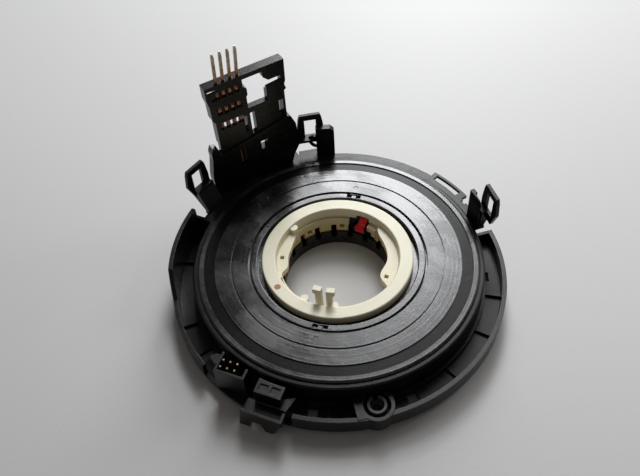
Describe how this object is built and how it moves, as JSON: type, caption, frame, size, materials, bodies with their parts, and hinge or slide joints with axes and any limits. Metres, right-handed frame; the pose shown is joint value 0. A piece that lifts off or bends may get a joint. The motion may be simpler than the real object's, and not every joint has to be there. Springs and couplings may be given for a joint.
{
  "type": "steering column clock spring",
  "caption": "Round black cassette with a flat cable inside, a free bore for a steering column, a tall contact tower with bare pins, snap loops and a pin header at its edge.",
  "frame": {"origin": "centre of the bore, at the rotor's underside, on which the cassette lies", "axes": "+Z along the bore, from the wheel side to the face disc; +X to the right and +Y away from the viewer of the picture, who looks at the pin header's side"},
  "size_m": [0.1256, 0.1253, 0.0782],
  "materials": {
    "gloss_black": "glossy, wiped and finely scratched",
    "satin_black": "satin, moulded",
    "tower_black": "satin, dusty",
    "ivory": "smooth, yellower in depth",
    "grey_bush": "dull, rubbed",
    "brass": "smooth, tarnished to copper at the foot",
    "cable_film": "clear film over copper",
    "slip_film": "translucent film",
    "red_tab": "smooth"
  },
  "bodies": {
    "stator": {"bearing_ring": "gloss_black", "face_cover": "gloss_black", "drum": "satin_black", "carrier": "satin_black", "outer_shroud": "satin_black", "boss_bush": "grey_bush", "snap_loop_left": "satin_black", "snap_loop_rear": "satin_black", "snap_loop_right": "satin_black", "guard_post_rear": "satin_black", "guard_post_right": "satin_black", "rear_eye": "satin_black", "contact_tower": "tower_black", "terminal_1": "brass", "terminal_2": "brass", "terminal_3": "brass", "terminal_4": "brass", "lead_block": "tower_black", "header_shell": "satin_black", "header_pins": "brass", "connector_cover": "satin_black", "fork_bracket": "satin_black", "flat_cable": "cable_film", "lower_film": "slip_film", "upper_film": "slip_film"},
    "rotor": {"rotor": "satin_black", "hub_sleeve": "ivory", "inner_block": "satin_black", "wheel_socket": "satin_black", "wheel_pins": "brass"},
    "lock": {"lock_tab": "red_tab"}
  },
  "joints": [
    {"name": "rotor_turn", "type": "hinge", "parent": "stator", "child": "rotor", "pos_m": [0, 0, 0], "axis": [0, 0, 1], "range_deg": [-900, 900]},
    {"name": "lock_slide", "type": "slide", "parent": "rotor", "child": "lock", "axis": [0, 0, 1], "range_m": [-0.0012, 0]}
  ]
}
